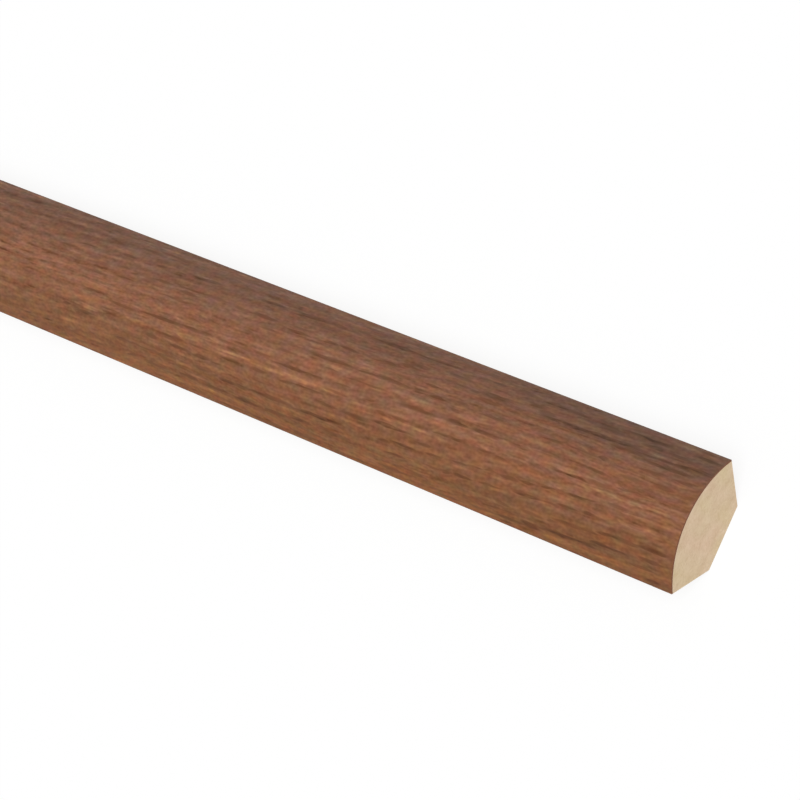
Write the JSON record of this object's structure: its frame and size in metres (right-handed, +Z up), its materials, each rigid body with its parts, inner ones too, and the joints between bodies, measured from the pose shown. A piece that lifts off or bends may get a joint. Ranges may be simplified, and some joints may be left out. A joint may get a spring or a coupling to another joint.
{
  "type": "quarter round moulding",
  "caption": "Straight length of quarter round trim: a fibreboard core with a bevelled back corner and a wood-grain laminate over its round face, to cover the gap between floor and wall.",
  "frame": {"origin": "middle of the back bevel that the stock lies on, halfway along its length", "axes": "+X along the stock, +Z up through the middle of the round face, +Y towards the leg that goes against the wall"},
  "size_m": [2.3876, 0.027, 0.012],
  "materials": {
    "fibreboard": "matte",
    "laminate": "satin"
  },
  "bodies": {
    "root": {"mdf_core": "fibreboard", "laminate_wrap": "laminate"}
  },
  "joints": []
}
